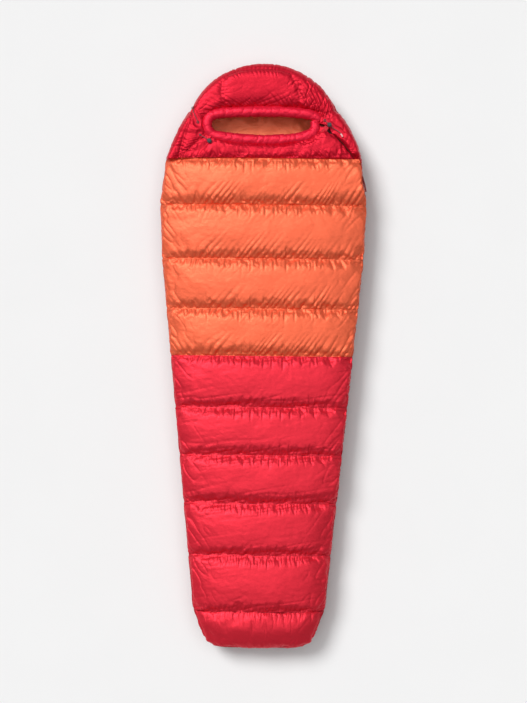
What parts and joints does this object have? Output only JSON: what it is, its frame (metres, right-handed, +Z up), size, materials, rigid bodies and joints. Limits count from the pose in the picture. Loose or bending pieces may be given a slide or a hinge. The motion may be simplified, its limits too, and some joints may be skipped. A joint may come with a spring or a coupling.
{
  "type": "mummy sleeping bag",
  "caption": "Mummy sleeping bag lying flat: quilted top and back layers, hood with drawn face opening, two-way side zip and fold-back neck corner.",
  "frame": {"origin": "on the floor under the middle of the bag's bounding box", "axes": "+Y towards the head, +X towards the zip side, +Z up out of the top layer"},
  "size_m": [0.7514, 2.15, 0.1655],
  "materials": {
    "orange_shell": "satin",
    "red_shell": "satin",
    "dark_red_shell": "satin",
    "lining_fabric": "satin",
    "baffle_mesh": "matte",
    "zip_tape_fabric": "matte",
    "zip_plastic": "satin",
    "zip_metal": "satin",
    "pull_webbing": "matte",
    "tab_fabric": "matte",
    "cord_elastic": "matte",
    "lock_plastic": "satin",
    "button_plastic": "satin",
    "spring_steel": "satin",
    "eyelet_metal": "satin",
    "cord_end_plastic": "gloss"
  },
  "bodies": {
    "bag": {"back_baffle_walls": "baffle_mesh", "back_chambers": "dark_red_shell", "cord_end_right": "cord_end_plastic", "cord_eyelets": "eyelet_metal", "cord_lock_barrels": "lock_plastic", "cord_lock_spring_left": "spring_steel", "cord_lock_spring_right": "spring_steel", "draft_collar_left": "lining_fabric", "drawcord_tail_left": "cord_elastic", "drawcord_tail_right": "cord_elastic", "foot_end_wall": "dark_red_shell", "hood_back": "dark_red_shell", "hood_cheek_left": "red_shell", "hood_cheek_right": "red_shell", "hood_crown_left": "red_shell", "hood_crown_panel": "red_shell", "hood_crown_right": "red_shell", "hood_drawcord": "cord_elastic", "hood_elastic": "cord_elastic", "hood_rim_brow": "red_shell", "hood_rim_chin_left": "red_shell", "hood_side_wall": "dark_red_shell", "lining_back": "lining_fabric", "lining_top": "lining_fabric", "neck_left": "red_shell", "side_wall_left": "dark_red_shell", "side_wall_right": "dark_red_shell", "top_baffle_walls": "baffle_mesh", "top_chamber_ankle": "red_shell", "top_chamber_calf": "red_shell", "top_chamber_chest": "orange_shell", "top_chamber_foot": "red_shell", "top_chamber_hips": "orange_shell", "top_chamber_knee": "red_shell", "top_chamber_ribs": "orange_shell", "top_chamber_shin": "red_shell", "top_chamber_thigh": "red_shell", "top_chamber_waist": "orange_shell", "zip_draft_tube": "lining_fabric", "zip_facings": "zip_tape_fabric", "zip_stops": "zip_plastic", "zip_tape_bag": "zip_tape_fabric", "zip_teeth_bag": "zip_plastic"},
    "corner": {"corner_chest": "orange_shell", "corner_neck": "red_shell", "hood_rim_chin": "red_shell", "chin_drawcord": "cord_elastic", "draft_collar_right": "lining_fabric", "zip_tape_corner": "zip_tape_fabric", "zip_teeth_corner": "zip_plastic", "garage_root": "tab_fabric"},
    "garage_tab": {"garage_tab": "tab_fabric"},
    "upper_slider": {"upper_slider": "zip_metal"},
    "upper_pull": {"upper_pull": "pull_webbing"},
    "lower_slider": {"lower_slider": "zip_metal"},
    "lower_pull": {"lower_pull": "pull_webbing"},
    "lock_button_left": {"cord_lock_button_left": "button_plastic"},
    "lock_button_right": {"cord_lock_button_right": "button_plastic"}
  },
  "joints": [
    {"name": "corner_fold", "type": "hinge", "parent": "bag", "child": "corner", "pos_m": [-0.12, 0.81, 0.162], "axis": [0.89, -0.4559, 0], "range_deg": [0, 130]},
    {"name": "upper_slider_travel", "type": "hinge", "parent": "bag", "child": "upper_slider", "pos_m": [0.0427, 0.557, 0.125], "axis": [0, 0, -1], "range_deg": [0, 44.1]},
    {"name": "upper_pull_swing", "type": "hinge", "parent": "upper_slider", "child": "upper_pull", "pos_m": [0.23389, 0.82971, 0.1293], "axis": [-0.5592, -0.829, 0], "range_deg": [0, 85]},
    {"name": "garage_tab_lift", "type": "hinge", "parent": "corner", "child": "garage_tab", "pos_m": [0.21816, 0.82616, 0.1492], "axis": [0.8377, -0.5461, 0], "range_deg": [0, 110]},
    {"name": "lower_slider_travel", "type": "slide", "parent": "bag", "child": "lower_slider", "axis": [0.0983, 0.9952, 0], "range_m": [0, 0.8]},
    {"name": "lower_pull_swing", "type": "hinge", "parent": "lower_slider", "child": "lower_pull", "pos_m": [0.28641, -0.48702, 0.105], "axis": [0, 0, 1], "range_deg": [0, 90]},
    {"name": "lock_button_left_press", "type": "slide", "parent": "bag", "child": "lock_button_left", "axis": [0, 0, -1], "range_m": [0, 0.003], "stiffness_N_per_m": 600, "deforming": ["cord_lock_spring_left"]},
    {"name": "lock_button_right_press", "type": "slide", "parent": "bag", "child": "lock_button_right", "axis": [0, 0, -1], "range_m": [0, 0.003], "stiffness_N_per_m": 600, "deforming": ["cord_lock_spring_right"]}
  ],
  "couplings": [
    {"joint": "upper_slider_travel", "follows": "corner_fold", "ratio": 0.33846}
  ]
}
